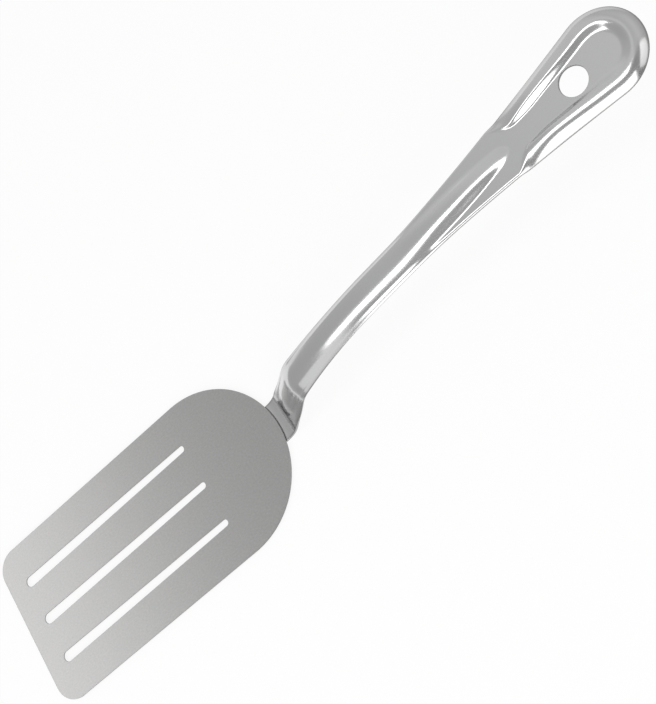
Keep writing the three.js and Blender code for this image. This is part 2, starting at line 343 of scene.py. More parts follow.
@dataclass(frozen=True)
class PlanOutline:
    """Outline of the handle's sheet, laid flat: tang, neck, flare and round end."""

    profile: SideProfile
    tang_width: float = 18.4 * MM
    neck_width: float = 15.3 * MM
    taper_start: float = 9.0 * MM
    taper_length: float = 59.0 * MM
    taper_ease_in: float = 8.3 * MM
    taper_ease_out: float = 35.4 * MM
    flare_angle: float = math.radians(8.1)
    flare_ease: float = 34.0 * MM

    @property
    def taper_from(self) -> float:
        """Length along the sheet where the neck starts to narrow."""
        return self.profile.ramp_start + self.taper_start

    def left_half(self, step: float) -> Array:
        """Points of the left half, from the tang's tip to the tip of the round end.

        Args:
            step: About how far apart the points are.

        Returns:
            An array of points, each a length along the sheet and a distance from its middle.
        """
        tang, neck, radius = self.tang_width / 2, self.neck_width / 2, self.profile.end_radius
        end, start = self.profile.end_centre, self.taper_from
        stop = start + self.taper_length
        flare_u = end - radius * math.sin(self.flare_angle)
        flare_v = radius * math.cos(self.flare_angle)
        knee = flare_u - (flare_v - neck) / math.tan(self.flare_angle)
        pulls = [(start + self.taper_ease_in, tang), (stop - self.taper_ease_out, neck)]
        ease_from = knee - self.flare_ease
        flare = [(ease_from, neck), (knee, neck), (flare_u, flare_v)]
        quarter = math.pi / 2

        def steps(length: float) -> int:
            """Number of steps along a run of some length."""
            return math.ceil(length / step)

        runs = [
            arc((tang, 0.0), tang, math.pi, quarter, steps(tang * quarter)),
            bezier([(tang, tang), (start, tang)], steps(start - tang)),
            bezier([(start, tang), *pulls, (stop, neck)], steps(self.taper_length)),
            bezier([(stop, neck), (ease_from, neck)], steps(ease_from - stop)),
            bezier(flare, steps(flare_u - ease_from)),
            arc((end, 0.0), radius, quarter + self.flare_angle, 0.0, steps(radius * quarter)),
        ]
        return np.concatenate([runs[0]] + [run[1:] for run in runs[1:]])


@dataclass(frozen=True)
class PressedSection:
    """Sizes of the relief pressed into the handle: rolled edge, raised rim and stiffening ridge."""

    profile: SideProfile
    edge_drop: float = 1.1 * MM
    edge_roll: float = 2.6 * MM
    edge_run_in: float = 12.0 * MM
    flare_drop: float = 0.7 * MM
    flare_roll: float = 1.4 * MM
    rim_height: float = 2.0 * MM
    rim_drop: float = 1.6 * MM
    rim_roll: float = 6.0 * MM
    rim_wall: float = 3.2 * MM
    rim_length: float = 36.0 * MM
    rim_run_out: float = 5.0 * MM
    rim_slant: float = 6.0 * MM
    rim_rise_start: float = 46.0 * MM
    rim_rise_full: float = 26.0 * MM
    rim_share: float = 0.85
    cap_height: float = 1.5 * MM
    cap_roll: float = 5.2 * MM
    cap_wall: float = 4.0 * MM
    cap_start: float = 26.0 * MM
    cap_full: float = 6.0 * MM
    ridge_width: float = 13.4 * MM
    ridge_neck_height: float = 1.6 * MM
    ridge_grip_height: float = 2.15 * MM
    ridge_neck_crown: float = 10.0
    ridge_grip_crown: float = 4.0
    ridge_swell_start: float = 60.0 * MM
    ridge_swell_full: float = 33.0 * MM
    ridge_nose_offset: float = 0.5 * MM
    ridge_nose_length: float = 11.0 * MM
    ridge_tail_offset: float = 43.8 * MM
    ridge_tail_length: float = 25.0 * MM
    ridge_tail_width: float = 6.6 * MM
    ridge_tail_spread: float = 45.0 * MM
    ridge_tip_length: float = 5.0 * MM

    def swell(self, u: Array) -> Array:
        """How far the neck's section has turned into the grip's, from 0 to 1."""
        tail_end = self.profile.end_centre - self.ridge_tail_offset
        return ease(u, tail_end - self.ridge_swell_start, tail_end - self.ridge_swell_full)

    def edge_sizes(self, u: Array, inside: Array, width: Array) -> tuple[Array, ...]:
        """Sizes of the rolled edge and rim.

        Args:
            u: Lengths along the sheet.
            inside: Distances inside its edge.
            width: Half-widths of the sheet there.

        Returns:
            How far the edge drops, how far the rim rises, and how wide the roll and the wall are.
        """
        end = self.profile.end_centre
        outward = np.clip(1.0 - inside / (self.rim_roll + self.rim_wall), 0.0, 1.0)
        full = end - self.rim_length - self.rim_slant * outward
        rim = ease(u, full - self.rim_run_out, full)
        cap = ease(u, end - self.cap_start, end - self.cap_full)
        tip = ease(u, end, end + self.profile.end_radius / 2)
        rise = ease(u, end - self.rim_rise_start, end - self.rim_rise_full)
        swell = self.swell(u)
        edge_roll = lerp(self.edge_roll, self.flare_roll, swell)
        edge_drop = lerp(self.edge_drop, self.flare_drop, swell)
        roll = lerp(edge_roll, lerp(self.rim_roll, self.cap_roll, tip), rim)
        wall = lerp(edge_roll, lerp(self.rim_wall, self.cap_wall, cap), rise)
        fit = np.minimum(1.0, self.rim_share * width / (roll + wall))
        ramp = self.profile.ramp_start
        drop = lerp(edge_drop, self.rim_drop, rim) * ease(u, ramp, ramp + self.edge_run_in)
        height = lerp(self.rim_height, self.cap_height, cap) * rise
        return drop, height, roll * fit, wall * fit

    def ridge(self, u: Array, v: Array) -> Array:
        """Height of the stiffening ridge.

        Args:
            u: Lengths along the sheet.
            v: Distances from its middle line.

        Returns:
            The heights.
        """
        from_tail = self.profile.end_centre - self.ridge_tail_offset - u
        from_nose = u - self.profile.ramp_start - self.ridge_nose_offset
        nose = rounded_end(from_nose, self.ridge_nose_length)
        tail = rounded_end(from_tail, self.ridge_tail_length)
        spread = rounded_end(from_tail, self.ridge_tail_spread) ** 2
        half = lerp(self.ridge_tail_width, self.ridge_width, spread) / 2
        half = half * nose * rounded_end(from_tail, self.ridge_tip_length)
        across = np.clip(np.abs(v) / np.maximum(half, TINY), 0.0, 1.0)
        swell = self.swell(u)
        full = lerp(self.ridge_neck_height, self.ridge_grip_height, swell)
        power = lerp(self.ridge_neck_crown, self.ridge_grip_crown, swell)
        crown = 1.0 - ((power + 2.0) * across**2 - 2.0 * across ** (power + 2.0)) / power
        return full * (nose * tail) ** 2 * crown


class SteelGrain:
    """Fine grain and cloudy tone of worked steel, shared by every steel finish."""

    NAME = "steel_grain"
    INPUTS = (
        ("Grain Size", 0.4 * MM),
        ("Stretch", 1.0),
        ("Cloud Size", 12.0 * MM),
        ("Tone Depth", 0.05),
        ("Cloud Depth", 0.03),
        ("Roughness", 0.3),
        ("Roughness Depth", 0.05),
        ("Grain Height", 0.001 * MM),
        ("Wave Height", 0.0),
    )

    def __init__(self) -> None:
        """Builds the node group."""
        self.group = bpy.data.node_groups.new(self.NAME, "ShaderNodeTree")
        build = NodeTreeBuilder(self.group)
        for name, default in self.INPUTS:
            build.socket(name, "NodeSocketFloat").default_value = default
        for name in ("Tone", "Roughness", "Height"):
            build.socket(name, "NodeSocketFloat", "OUTPUT")
        given = build.add("NodeGroupInput").outputs
        place = build.add("ShaderNodeTexCoord").outputs["Object"]
        grain = self._noise(build, place, given["Grain Size"], given["Stretch"], detail=2.0)
        cloud = self._noise(build, place, given["Cloud Size"], given["Stretch"], detail=1.0)
        tone = build.math("MULTIPLY_ADD", grain, given["Tone Depth"], 1.0)
        tone = build.math("MULTIPLY_ADD", cloud, given["Cloud Depth"], tone)
        rough = build.math("MULTIPLY_ADD", grain, given["Roughness Depth"], given["Roughness"])
        height = build.math("MULTIPLY", cloud, given["Wave Height"])
        height = build.math("MULTIPLY_ADD", grain, given["Grain Height"], height)
        build.add("NodeGroupOutput", {"Tone": tone, "Roughness": rough, "Height": height})

    @staticmethod
    def _noise(
        build: NodeTreeBuilder, place: Socket, size: Socket, stretch: Socket, detail: float
    ) -> Socket:
        """Noise from -0.5 to 0.5, drawn out along X.

        Args:
            build: Builder of the group.
            place: Coordinates to read.
            size: Size of one grain.
            stretch: How many times longer than wide a grain is.
            detail: How many finer layers it has.

        Returns:
            The noise.
        """
        across = build.math("DIVIDE", 1.0, size)
        along = build.math("DIVIDE", across, stretch)
        scale = build.vector(X=along, Y=across, Z=across)
        mapped = build.out("ShaderNodeMapping", {"Vector": place, "Scale": scale})
        noise = build.out("ShaderNodeTexNoise", {"Vector": mapped, "Scale": 1.0, "Detail": detail})
        return build.math("SUBTRACT", noise, 0.5)


@dataclass(frozen=True)
class SteelFinish:
    """Finish of one steel surface."""

    name: str
    color: Color
    grain: dict[str, float]
    # Colour of the darkened edges: their sheared finish, darkened further as painted shade.
    sheared_and_shade_color: Color | None = None
    sheared_roughness: float = 0.5
    torn_power: float = 4.0

    def material(self, grain: SteelGrain) -> bpy.types.Material:
        """Makes the finish's material, with darker, duller sheared edges where it has them; their
        darkness is partly painted shade.

        Args:
            grain: The shared grain group.

        Returns:
            The material.
        """
        made = bpy.data.materials.new(self.name)
        made.use_nodes = True
        build = NodeTreeBuilder(made.node_tree)
        shader = made.node_tree.nodes["Principled BSDF"]
        shader.inputs["Metallic"].default_value = 1.0
        worked = build.add("ShaderNodeGroup", node_tree=grain.group)
        for name, value in self.grain.items():
            worked.inputs[name].default_value = value
        color, rough = self.color, worked.outputs["Roughness"]
        if self.sheared_and_shade_color is not None:
            sheared = build.add("ShaderNodeAttribute", attribute_name=PressedHandle.SHEARED_AND_SHADE)
            edge = sheared.outputs["Fac"]
            # Darkens the sheared edges: partly their real finish, partly painted shade that stands
            # in for a dark reflection along them.
            color = build.mix(Mix.RGBA, edge, (*self.color, 1.0), (*self.sheared_and_shade_color, 1.0))
            torn = build.math("POWER", edge, self.torn_power)
            rough = build.mix(Mix.FLOAT, torn, rough, self.sheared_roughness)
        tone = {0: color, "Scale": worked.outputs["Tone"]}
        relief = {"Strength": 1.0, "Distance": 1.0, "Height": worked.outputs["Height"]}
        driven = {
            "Base Color": build.out("ShaderNodeVectorMath", tone, operation="SCALE"),
            "Roughness": rough,
            "Normal": build.out("ShaderNodeBump", relief),
        }
        for name, source in driven.items():
            build.tree.links.new(source, shader.inputs[name])
        return made


SATIN_BLADE = SteelFinish(
    name="satin_blade_steel",
    color=(0.41, 0.407, 0.404),
    grain={
        "Grain Size": 0.7 * MM,
        "Stretch": 1.3,
        "Cloud Size": 9.0 * MM,
        "Tone Depth": 0.34,
        "Roughness": 0.32,
        "Roughness Depth": 0.06,
        "Grain Height": 0.003 * MM,
    },
)
POLISHED_HANDLE = SteelFinish(
    name="polished_handle_steel",
    color=(0.67, 0.67, 0.672),
    grain={
        "Grain Size": 0.5 * MM,
        "Stretch": 30.0,
        "Cloud Size": 6.0 * MM,
        "Tone Depth": 0.03,
        "Roughness": 0.17,
        "Roughness Depth": 0.04,
        "Grain Height": 0.0,
        "Wave Height": 0.006 * MM,
    },
    # Dark colour of the edge mask: the sheared finish, darkened further as painted shade.
    sheared_and_shade_color=(0.24, 0.238, 0.235),
    sheared_roughness=0.45,
)
WELD_NUGGET = SteelFinish(
    name="weld_nugget_steel",
    color=(0.34, 0.33, 0.32),
    grain={
        "Grain Size": 0.25 * MM,
        "Cloud Size": 1.5 * MM,
        "Tone Depth": 0.25,
        "Cloud Depth": 0.2,
        "Roughness": 0.55,
        "Roughness Depth": 0.1,
        "Grain Height": 0.02 * MM,
    },
)


@dataclass
class PressedHandle:
    """The handle: one pressed sheet, from the tang under the blade to the pierced round end."""

    # Mask of the darkened edges: sheared finish plus painted shade.
    SHEARED_AND_SHADE = "sheared"
    SLOPE_STEP = 0.01 * MM

    finish: SteelFinish = POLISHED_HANDLE
    thickness: float = 1.2 * MM
    lip_radius: float = 0.2 * MM
    # Band of painted shade across the rolled edge, and the width of the darkened sheared line along
    # the cut.
    shade_band_share: float = 0.55
    shade_band_depth: float = 0.5
    burr_and_shade_width: float = 0.45 * MM
    # How much of the edge darkening, sheared finish and painted shade alike, is kept along the
    # neck.
    neck_dullness_and_shade: float = 0.65
    hole_diameter: float = 11.0 * MM
    hole_offset: float = 12.0 * MM
    hole_lip: float = 0.25 * MM
    hole_clear: float = 0.005 * MM
    weld_dimple_radius: float = 2.6 * MM
    weld_dimple_depth: float = 0.12 * MM
    weld_dimple_flat: float = 0.6
    outline_step: float = 0.65 * MM
    roll_rows: int = 12
    wall_rows: int = 8
    floor_rows: int = 24
    lip_rows: int = 4
    hole_segments: int = 96
    profile: SideProfile = field(default_factory=SideProfile)

    def __post_init__(self) -> None:
        """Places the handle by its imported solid."""
        self.outline = PlanOutline(self.profile)
        self.section = PressedSection(self.profile)
        low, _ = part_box("handle")
        self.origin = np.array([low.x, 0.0, low.z + self.thickness])
        self.edge = self.outline.left_half(self.outline_step)

    def spine(self, u: Array) -> Array:
        """Nearest lengths on the spine, which stops at the centres of the sheet's round ends."""
        return np.clip(u, self.outline.tang_width / 2, self.profile.end_centre)

    def height(self, u: Array, v: Array) -> Array:
        """Height of the sheet's top over its middle line.

        Args:
            u: Lengths along the sheet.
            v: Distances from its middle line.

        Returns:
            The heights.
        """
        spine = self.spine(u)
        width = np.interp(spine, self.edge[:, 0], self.edge[:, 1])
        inside = width - np.hypot(u - spine, v)
        drop, rise, roll, wall = self.section.edge_sizes(u, inside, width)
        rolled = rise - (rise + drop) * np.clip(1.0 - inside / roll, 0.0, None) ** 2
        lowered = rise * ease(inside, roll, roll + wall)
        return rolled - lowered + self.section.ridge(u, v)

    def surface(self, u: Array, v: Array) -> tuple[Array, Array]:
        """Points of the sheet's top and the directions that it faces.

        Args:
            u: Lengths along the sheet.
            v: Distances from its middle line.

        Returns:
            The points and their unit normals.
        """
        delta = self.SLOPE_STEP
        x, z, angle = self.profile.at(u)
        curve = (self.profile.at(u + delta)[2] - self.profile.at(u - delta)[2]) / (2 * delta)
        height = self.height(u, v)
        slope_u = (self.height(u + delta, v) - self.height(u - delta, v)) / (2 * delta)
        slope_v = (self.height(u, v + delta) - self.height(u, v - delta)) / (2 * delta)
        cos, sin, zero = np.cos(angle), np.sin(angle), np.zeros_like(u)
        tangent = np.stack([cos, zero, sin], axis=-1)
        upward = np.stack([-sin, zero, cos], axis=-1)
        sideways = np.array([0.0, 1.0, 0.0])
        middle = np.stack([x, v, z], axis=-1) + self.origin
        stretch = (1.0 - height * curve)[..., None]
        normal = stretch * (upward - slope_v[..., None] * sideways) - slope_u[..., None] * tangent
        normal = normal / np.linalg.norm(normal, axis=-1, keepdims=True)
        return middle + height[..., None] * upward, normal

    def rows(self, width: Array, roll: Array, wall: Array) -> Array:
        """Distances inside the edge of the rows across each station, from the spine to the edge.

        Args:
            width: Half-width of each station.
            roll: Width of its rolled edge.
            wall: Width of the wall inside that.

        Returns:
            An array with one row of distances for each station.
        """
        lip = np.full_like(width, self.lip_radius)
        stops = [(width, self.floor_rows), (roll + wall, self.wall_rows), (roll, self.roll_rows)]
        parts = []
        for (start, count), end in zip(stops, [roll + wall, roll, lip]):
            share = np.arange(count) / count
            parts.append(start[:, None] + (end - start)[:, None] * share)
        return np.concatenate(parts + [lip[:, None]], axis=1)

    def dullness_and_shade(self, inside: Array, roll: Array) -> Array:
        """How far the faces along the edge are darkened: a line of sheared finish darkened further
        as painted shade, and a faint band of painted shade.

        Args:
            inside: Distances inside the edge, by station and row.
            roll: Width of the rolled edge at each station.

        Returns:
            The share at each point, from 0 to 1.
        """
        # Painted shade: a faint darker band across the rolled edge, standing in for a dark
        # reflection there.
        shade_band = self.shade_band_depth * (1.0 - ease(inside, 0.0, self.shade_band_share * roll[:, None]))
        # Sheared finish along the cut edge, darkened further as painted shade.
        line = 1.0 - ease(inside, self.lip_radius, self.lip_radius + self.burr_and_shade_width)
        return np.maximum(shade_band, line)

    def half(self, side: Side) -> tuple[Array, Array]:
        """Points of one half of the sheet: over the top, round the edge and back underneath.

        Args:
            side: Which half.

        Returns:
            The points, by station and row, and how far each is darkened by the sheared finish and
            by painted shade.
        """
        spine = self.spine(self.edge[:, 0])
        across = np.stack([self.edge[:, 0] - spine, self.edge[:, 1]], axis=1)
        width = np.linalg.norm(across, axis=1)
        _, _, roll, wall = self.section.edge_sizes(spine, np.zeros_like(width), width)
        inside = self.rows(width, roll, wall)
        share = 1.0 - inside / width[:, None]
        u = spine[:, None] + share * across[:, :1]
        v = side.value * share * across[:, 1:]
        top, normal = self.surface(u, v)
        under = top - self.thickness * normal
        under = under + self.weld_dimples(under)[..., None] * normal
        lip = self.lip(spine, across, side)
        points = np.concatenate([top, lip, under[:, ::-1]], axis=1)
        dull_and_shade = self.dullness_and_shade(inside, roll)
        sheared = np.concatenate([dull_and_shade, np.ones(lip.shape[:2]), dull_and_shade[:, ::-1]], axis=1)
        # Less of the darkening, sheared finish and painted shade alike, along the neck.
        darkening_scale = lerp(self.neck_dullness_and_shade, 1.0, self.section.swell(spine))
        return points, sheared * darkening_scale[:, None]

    def lip(self, spine: Array, across: Array, side: Side) -> Array:
        """Rounded outer edge of the sheet, from its top to its underside.

        Args:
            spine: Length along the sheet of each station.
            across: The way from the spine to the edge at each station.
            side: Which half of the sheet.

        Returns:
            The points, by station and row.
        """
        inner = 1.0 - self.lip_radius / np.linalg.norm(across, axis=1, keepdims=True)
        rim, normal = self.surface(spine + across[:, 0], side.value * across[:, 1])
        near, _ = self.surface(spine + (inner * across)[:, 0], side.value * (inner * across)[:, 1])
        outward = rim - near
        outward = outward - np.sum(outward * normal, axis=1, keepdims=True) * normal
        outward = outward / np.linalg.norm(outward, axis=1, keepdims=True)
        radius = self.lip_radius
        turns = np.linspace(0.0, math.pi / 2, self.lip_rows + 1)[1:]
        rows = []
        for face, depth in ((1, radius), (-1, self.thickness - radius)):
            centre = rim - radius * outward - depth * normal
            for turn in turns[::face]:
                away = math.sin(turn) * outward + face * math.cos(turn) * normal
                rows.append(centre + radius * away)
        return np.stack(rows, axis=1)

    def weld_dimples(self, points: Array) -> Array:
        """Depth of the shallow marks that the spot welds leave under the tang.

        Args:
            points: Points of the underside.

        Returns:
            How far each point is pressed in.
        """
        depth = np.zeros(points.shape[:-1])
        radius = self.weld_dimple_radius
        for name in SpotWelds.nodes():
            low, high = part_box(name)
            centre = (low + high) / 2
            away = np.hypot(points[..., 0] - centre.x, points[..., 1] - centre.y)
            pressed = 1.0 - ease(away, self.weld_dimple_flat * radius, radius)
            depth += self.weld_dimple_depth * pressed
        return depth

    def sheet(self) -> Object:
        """Makes the sheet before its hole is cut.

        Returns:
            The mesh object.
        """
        halves = zip(*(self.half(side) for side in Side))
        loop, sheared = (np.concatenate([left, right[-2:0:-1]]) for left, right in halves)
        stations, rows = loop.shape[:2]
        number = np.arange(stations * rows).reshape(stations, rows)
        after = np.roll(number, -1, axis=0)
        quads = np.stack([number[:, :-1], after[:, :-1], after[:, 1:], number[:, 1:]], axis=-1)
        mesh = bpy.data.meshes.new("handle_sheet")
        mesh.from_pydata(loop.reshape(-1, 3).tolist(), [], quads.reshape(-1, 4).tolist())
        values = mesh.attributes.new(self.SHEARED_AND_SHADE, "FLOAT", "POINT").data
        values.foreach_set("value", sheared.ravel())
        merge_close(mesh)
        mesh.shade_smooth()
        return link_to_scene("pressed_handle", mesh)

    def hole_cutter(self) -> Object:
        """Makes the punch of the hanging hole, flared at both faces so that it leaves rounded lips.

        Returns:
            The mesh object.
        """
        radius, lip, reach = self.hole_diameter / 2, self.hole_lip, 2 * self.thickness
        centre = (radius + lip, self.hole_clear - lip)
        upper = arc(centre, lip, math.pi, math.pi / 2, self.lip_rows)
        lower = [(r, -self.thickness - h) for r, h in upper]
        line = [(radius + lip, -reach), *lower[::-1], *upper, (radius + lip, reach)]
        place, angle = self.hole_place()
        turned = Matrix.Translation(place) @ Matrix.Rotation(-angle, 4, "Y")
        punch = bmesh.new()
        ring = [punch.verts.new((r, 0.0, h)) for r, h in line]
        edges = [punch.edges.new(pair) for pair in zip(ring, ring[1:])]
        bmesh.ops.spin(
            punch,
            geom=ring + edges,
            axis=(0.0, 0.0, 1.0),
            cent=(0.0, 0.0, 0.0),
            angle=2 * math.pi,
            steps=self.hole_segments,
        )
        bmesh.ops.remove_doubles(punch, verts=punch.verts, dist=JOIN_DISTANCE)
        bmesh.ops.holes_fill(punch, edges=punch.edges, sides=0)
        bmesh.ops.recalc_face_normals(punch, faces=punch.faces)
        bmesh.ops.transform(punch, matrix=turned, verts=punch.verts)
        mesh = bpy.data.meshes.new("hole_cutter")
        punch.to_mesh(mesh)
        punch.free()
        mesh.shade_smooth()
        return link_to_scene("hole_cutter", mesh)

    def hole_place(self) -> tuple[Vector, float]:
        """Centre of the hanging hole on the floor of the flared end, and the slope there."""
        x, z, angle = self.profile.at(np.array([self.profile.end_centre - self.hole_offset]))
        return Vector((x[0], 0.0, z[0])) + Vector(self.origin), float(angle[0])

    def finish_hole(self, mesh: bpy.types.Mesh) -> None:
        """Gives the hole's wall the sheared finish, darkened further as painted shade, and smooths
        the sheet round it.

        Args:
            mesh: Mesh of the pierced handle.
        """
        place, angle = self.hole_place()
        middle = self.profile.end_centre - self.hole_offset
        points = np.array([vertex.co for vertex in mesh.vertices])
        away = (points - np.array(place)) @ np.array([math.cos(angle), 0.0, math.sin(angle)])
        radius = np.hypot(away, points[:, 1])
        sheared = mesh.attributes[self.SHEARED_AND_SHADE].data
        values = np.array([point.value for point in sheared])
        # The hole's wall takes the full edge darkening: its sheared finish plus painted shade.
        values[radius < self.hole_diameter / 2 + self.hole_lip / 2] = 1.0
        sheared.foreach_set("value", values)
        near = np.flatnonzero(radius < self.hole_diameter)
        top, facing = self.surface(middle + away[near], points[near, 1])
        tolerance = self.hole_lip / 10
        on_top = np.linalg.norm(top - points[near], axis=1) < tolerance
        normals = np.zeros_like(points)
        normals[near[on_top]] = facing[on_top]
        mesh.normals_split_custom_set_from_vertices(normals.tolist())

    def build(self, grain: SteelGrain) -> Object:
        """Makes the handle, pierced and dressed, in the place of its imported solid.

        Args:
            grain: The shared grain group.

        Returns:
            The piece.
        """
        piece = self.sheet()
        cutter = self.hole_cutter()
        cut = piece.modifiers.new("hanging_hole", "BOOLEAN")
        cut.operation = "DIFFERENCE"
        cut.solver = "EXACT"
        cut.object = cutter
        apply_modifiers(piece)
        merge_close(piece.data)
        self.finish_hole(piece.data)
        bpy.data.objects.remove(cutter)
        piece.data.materials.clear()
        piece.data.materials.append(self.finish.material(grain))
        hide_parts("handle")
        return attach(piece, BODY)


@dataclass
class SlottedBlade:
    """The blade: one flat sheet with a straight front edge, a round rear end and draining slots."""

    NAME = "slotted_blade"
    FLAT_FACING = 0.999

    finish: SteelFinish = SATIN_BLADE
    front_corner: float = 10.3 * MM
    slot_count: int = 3
    slot_pitch: float = 19.6 * MM
    slot_length: float = 99.6 * MM
    slot_front_margin: float = 9.9 * MM
    slot_front_width: float = 4.75 * MM
    slot_rear_width: float = 3.0 * MM
    lip: float = 0.14 * MM
    lip_segments: int = 3
    corner_steps: int = 24
    rear_steps: int = 96
    slot_steps: int = 72

    def tree(self) -> tuple[bpy.types.NodeTree, dict[str, str]]:
        """Builds the tree that cuts the blade's outline and slots from sheet.

        Returns:
            The tree, and the identifier of each of its inputs by name.
        """
        tree = bpy.data.node_groups.new(self.NAME, "GeometryNodeTree")
        build = NodeTreeBuilder(tree)
        build.socket("Geometry", "NodeSocketGeometry")
        named = {}
        for name in self.sizes():
            kind = "NodeSocketInt" if name.endswith("Count") else "NodeSocketFloat"
            named[name] = build.socket(name, kind).identifier
        named["Finish"] = build.socket("Finish", "NodeSocketMaterial").identifier
        build.socket("Geometry", "NodeSocketGeometry", "OUTPUT")
        given = build.add("NodeGroupInput").outputs
        curves = build.add("GeometryNodeJoinGeometry")
        for part in (self._outline(build, given), self._slots(build, given)):
            tree.links.new(part, curves.inputs[0])
        flat = build.out("GeometryNodeFillCurve", {"Curve": curves.outputs[0]}, mode="NGONS")
        sink = build.vector(Z=build.math("MULTIPLY", given["Thickness"], -1.0))
        under = build.out("GeometryNodeSetPosition", {"Geometry": flat, "Offset": sink})
        lift = {"Mesh": under, "Offset Scale": given["Thickness"], "Individual": False}
        raised = build.out("GeometryNodeExtrudeMesh", lift, mode="FACES")
        base = build.out("GeometryNodeFlipFaces", {"Mesh": under})
        both = build.add("GeometryNodeJoinGeometry")
        for part in (raised, base):
            tree.links.new(part, both.inputs[0])
        seams = {"Geometry": both.outputs[0], "Distance": JOIN_DISTANCE}
        closed = build.out("GeometryNodeMergeByDistance", seams)
        whole = build.out("GeometryNodeRealizeInstances", {"Geometry": closed})
        dress = {"Geometry": whole, "Material": given["Finish"]}
        build.add("NodeGroupOutput", {"Geometry": build.out("GeometryNodeSetMaterial", dress)})
        return tree, named

    def _outline(self, build: NodeTreeBuilder, given: Any) -> Socket:
        """Outline of the blade: a rectangle with rounded front corners and a full round rear.

        Args:
            build: Builder of the tree.
            given: The tree's inputs.

        Returns:
            The outline as a curve.
        """
        size = {"Width": given["Length"], "Height": given["Width"]}
        plate = build.out("GeometryNodeCurvePrimitiveQuadrilateral", size)
        half = build.math("MULTIPLY", given["Width"], 0.5)
        radius = self._by_end(build, "FLOAT", given["Front Corner"], half)
        steps = self._by_end(build, "INT", self.corner_steps, self.rear_steps)
        corners = {"Curve": plate, "Count": steps, "Radius": radius, "Limit Radius": True}
        rounded = build.out("GeometryNodeFilletCurve", corners, mode="POLY")
        shift = build.vector(X=build.math("MULTIPLY_ADD", given["Length"], -0.5, half))
        return build.out("GeometryNodeSetPosition", {"Geometry": rounded, "Offset": shift})

    @staticmethod
    def _by_end(build: NodeTreeBuilder, kind: str, front: Any, rear: Any) -> Socket:
        """Picks a value for each point by the end of the shape that it lies at.

        Args:
            build: Builder of the tree.
            kind: Type of the value.
            front: Value or socket for points with a negative X.
            rear: Value or socket for points with a positive X.

        Returns:
            The value.
        """
        x = build.out("ShaderNodeSeparateXYZ", {0: build.out("GeometryNodeInputPosition")})
        is_rear = build.out("FunctionNodeCompare", {0: x, 1: 0.0}, operation="GREATER_THAN")
        choice = {"Switch": is_rear, "False": front, "True": rear}
        return build.out("GeometryNodeSwitch", choice, input_type=kind)

    def _slots(self, build: NodeTreeBuilder, given: Any) -> Socket:
        """Draining slots: round-ended, narrower towards the handle, side by side.

        Args:
            build: Builder of the tree.
            given: The tree's inputs.

        Returns:
            The slots as curves.
        """
        unit = {"Resolution": self.slot_steps, "Radius": 1.0}
        circle = build.out("GeometryNodeCurvePrimitiveCircle", unit)
        spot = build.out("GeometryNodeInputPosition")
        ends = []
        for end in ("Front", "Rear"):
            size = {0: spot, "Scale": given[f"Slot {end} Radius"]}
            grown = build.out("ShaderNodeVectorMath", size, operation="SCALE")
            middle = build.vector(X=given[f"Slot {end} X"])
            ends.append(build.out("ShaderNodeVectorMath", {0: grown, 1: middle}, operation="ADD"))
        place = self._by_end(build, "VECTOR", *ends)
        slot = build.out("GeometryNodeSetPosition", {"Geometry": circle, "Position": place})
        gaps = build.math("SUBTRACT", given["Slot Count"], 1.0)
        first = build.math("MULTIPLY", build.math("MULTIPLY", gaps, given["Slot Pitch"]), -0.5)
        row = {
            "Count": given["Slot Count"],
            "Start Location": build.vector(Y=first),
            "Offset": build.vector(Y=given["Slot Pitch"]),
        }
        line = build.out("GeometryNodeMeshLine", row, mode="OFFSET")
        copies = build.out("GeometryNodeInstanceOnPoints", {"Points": line, "Instance": slot})
        return build.out("GeometryNodeRealizeInstances", {"Geometry": copies})

    def sizes(self) -> dict[str, float]:
        """Sizes that drive the tree, with the sheet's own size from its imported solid.

        Returns:
            Each size by the name of the tree's input.
        """
        low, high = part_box("blade")
        front = low.x + self.slot_front_margin
        return {
            "Length": high.x - low.x,
            "Width": high.y - low.y,
            "Thickness": high.z - low.z,
            "Front Corner": self.front_corner,
            "Slot Count": self.slot_count,
            "Slot Pitch": self.slot_pitch,
            "Slot Front X": front + self.slot_front_width / 2,
            "Slot Rear X": front + self.slot_length - self.slot_rear_width / 2,
            "Slot Front Radius": self.slot_front_width / 2,
            "Slot Rear Radius": self.slot_rear_width / 2,
        }

    def build(self, grain: SteelGrain) -> Object:
        """Makes the blade, dressed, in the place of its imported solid.

        Args:
            grain: The shared grain group.

        Returns:
            The piece.
        """
        piece = link_to_scene(self.NAME, bpy.data.meshes.new(self.NAME))
        tree, named = self.tree()
        cut = piece.modifiers.new("cut_from_sheet", "NODES")
        cut.node_group = tree
        for name, value in self.sizes().items():
            cut[named[name]] = value
        cut[named["Finish"]] = self.finish.material(grain)
        soften = piece.modifiers.new("deburred_edges", "BEVEL")
        soften.width = self.lip
        soften.segments = self.lip_segments
        soften.limit_method = "ANGLE"
        soften.use_clamp_overlap = False
        apply_modifiers(piece)
        for face in piece.data.polygons:
            face.use_smooth = abs(face.normal.z) < self.FLAT_FACING
        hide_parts("blade")
        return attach(piece, BODY)


@dataclass
class SpotWelds:
    """The weld nuggets between the tang and the blade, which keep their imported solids."""

    finish: SteelFinish = WELD_NUGGET

    @staticmethod
    def nodes() -> list[str]:
        """Names of the weld nodes."""
        return sorted(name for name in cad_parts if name.startswith("spot_weld"))

    def dress(self, grain: SteelGrain) -> list[Object]:
        """Gives each weld its finish.

        Args:
            grain: The shared grain group.

        Returns:
            The welds.
        """
        material = self.finish.material(grain)
        welds = [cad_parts[name] for name in self.nodes()]
        for weld in welds:
            weld.data.materials.clear()
            weld.data.materials.append(material)
        return welds


